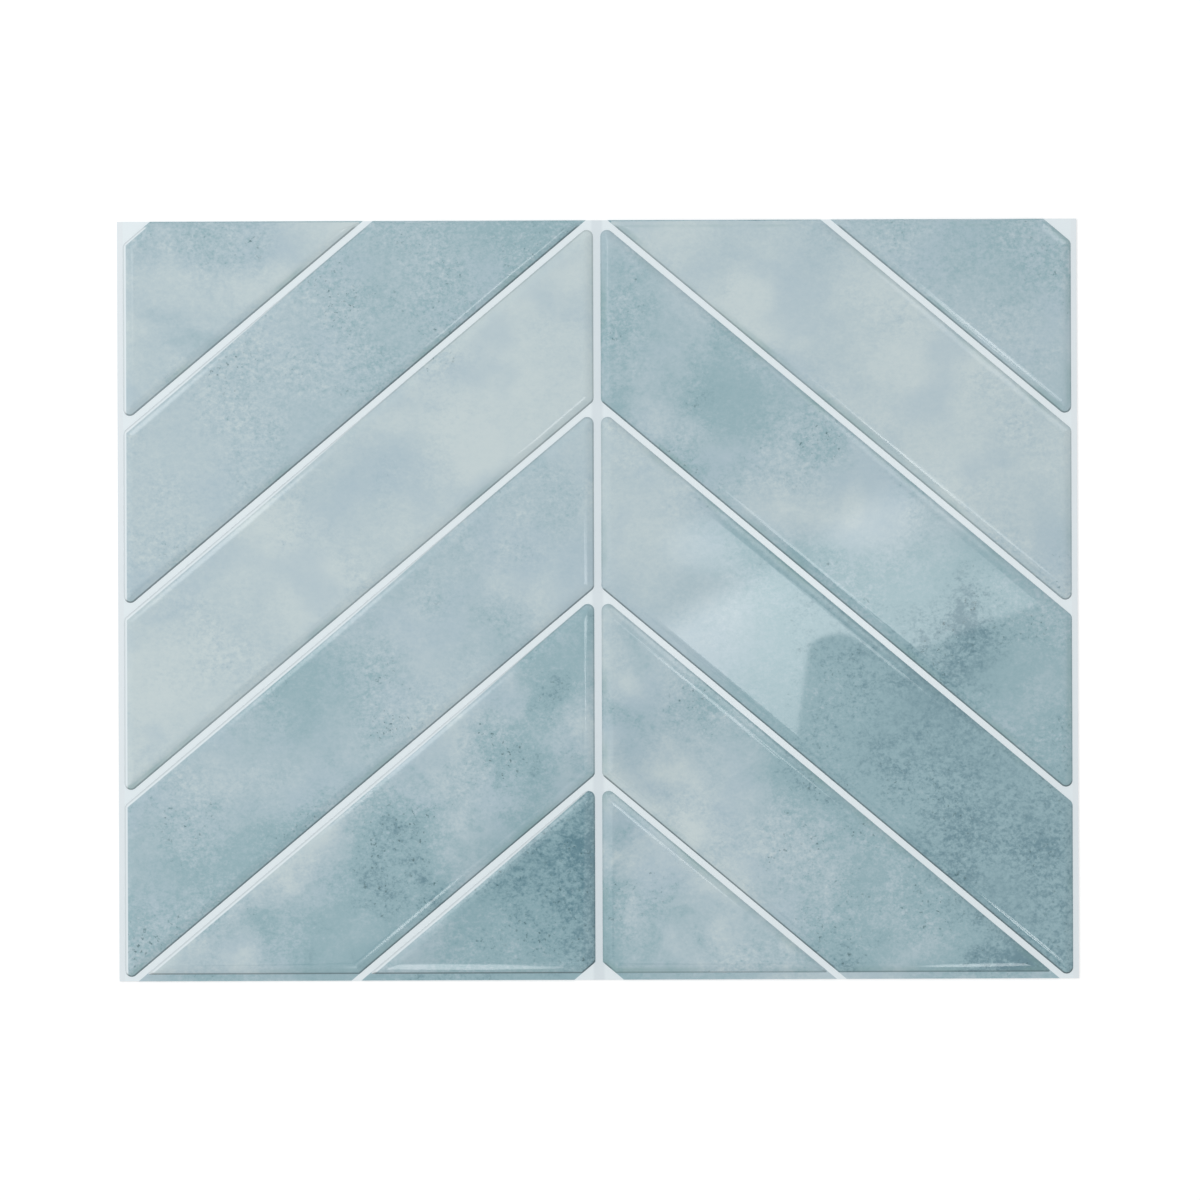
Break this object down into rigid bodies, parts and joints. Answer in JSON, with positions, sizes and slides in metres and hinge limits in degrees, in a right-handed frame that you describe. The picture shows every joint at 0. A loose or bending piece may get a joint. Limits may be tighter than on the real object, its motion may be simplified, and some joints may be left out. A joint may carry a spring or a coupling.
{
  "type": "self-adhesive wall panel",
  "caption": "Peel-and-stick wall panel: a thin printed sheet carrying raised glossy gel tiles in a chevron with white joints, stuck to a wall by its flat back",
  "frame": {"origin": "middle of the flat sticky back face, so the panel rests on z = 0", "axes": "+X across the panel to the right, +Y up the wall as the chevron points, +Z out of the printed face"},
  "size_m": [0.3048, 0.2414, 0.0019],
  "materials": {
    "printed_sheet": "satin white vinyl film",
    "gel": "clear gloss gel, blue-grey print seen through it"
  },
  "bodies": {
    "root": {"backing_sheet": "printed_sheet", "gel_tile_left_1": "gel", "gel_tile_left_2": "gel", "gel_tile_left_3": "gel", "gel_tile_left_4": "gel", "gel_tile_left_5": "gel", "gel_tile_left_6": "gel", "gel_tile_right_1": "gel", "gel_tile_right_2": "gel", "gel_tile_right_3": "gel", "gel_tile_right_4": "gel", "gel_tile_right_5": "gel", "gel_tile_right_6": "gel"}
  },
  "joints": []
}
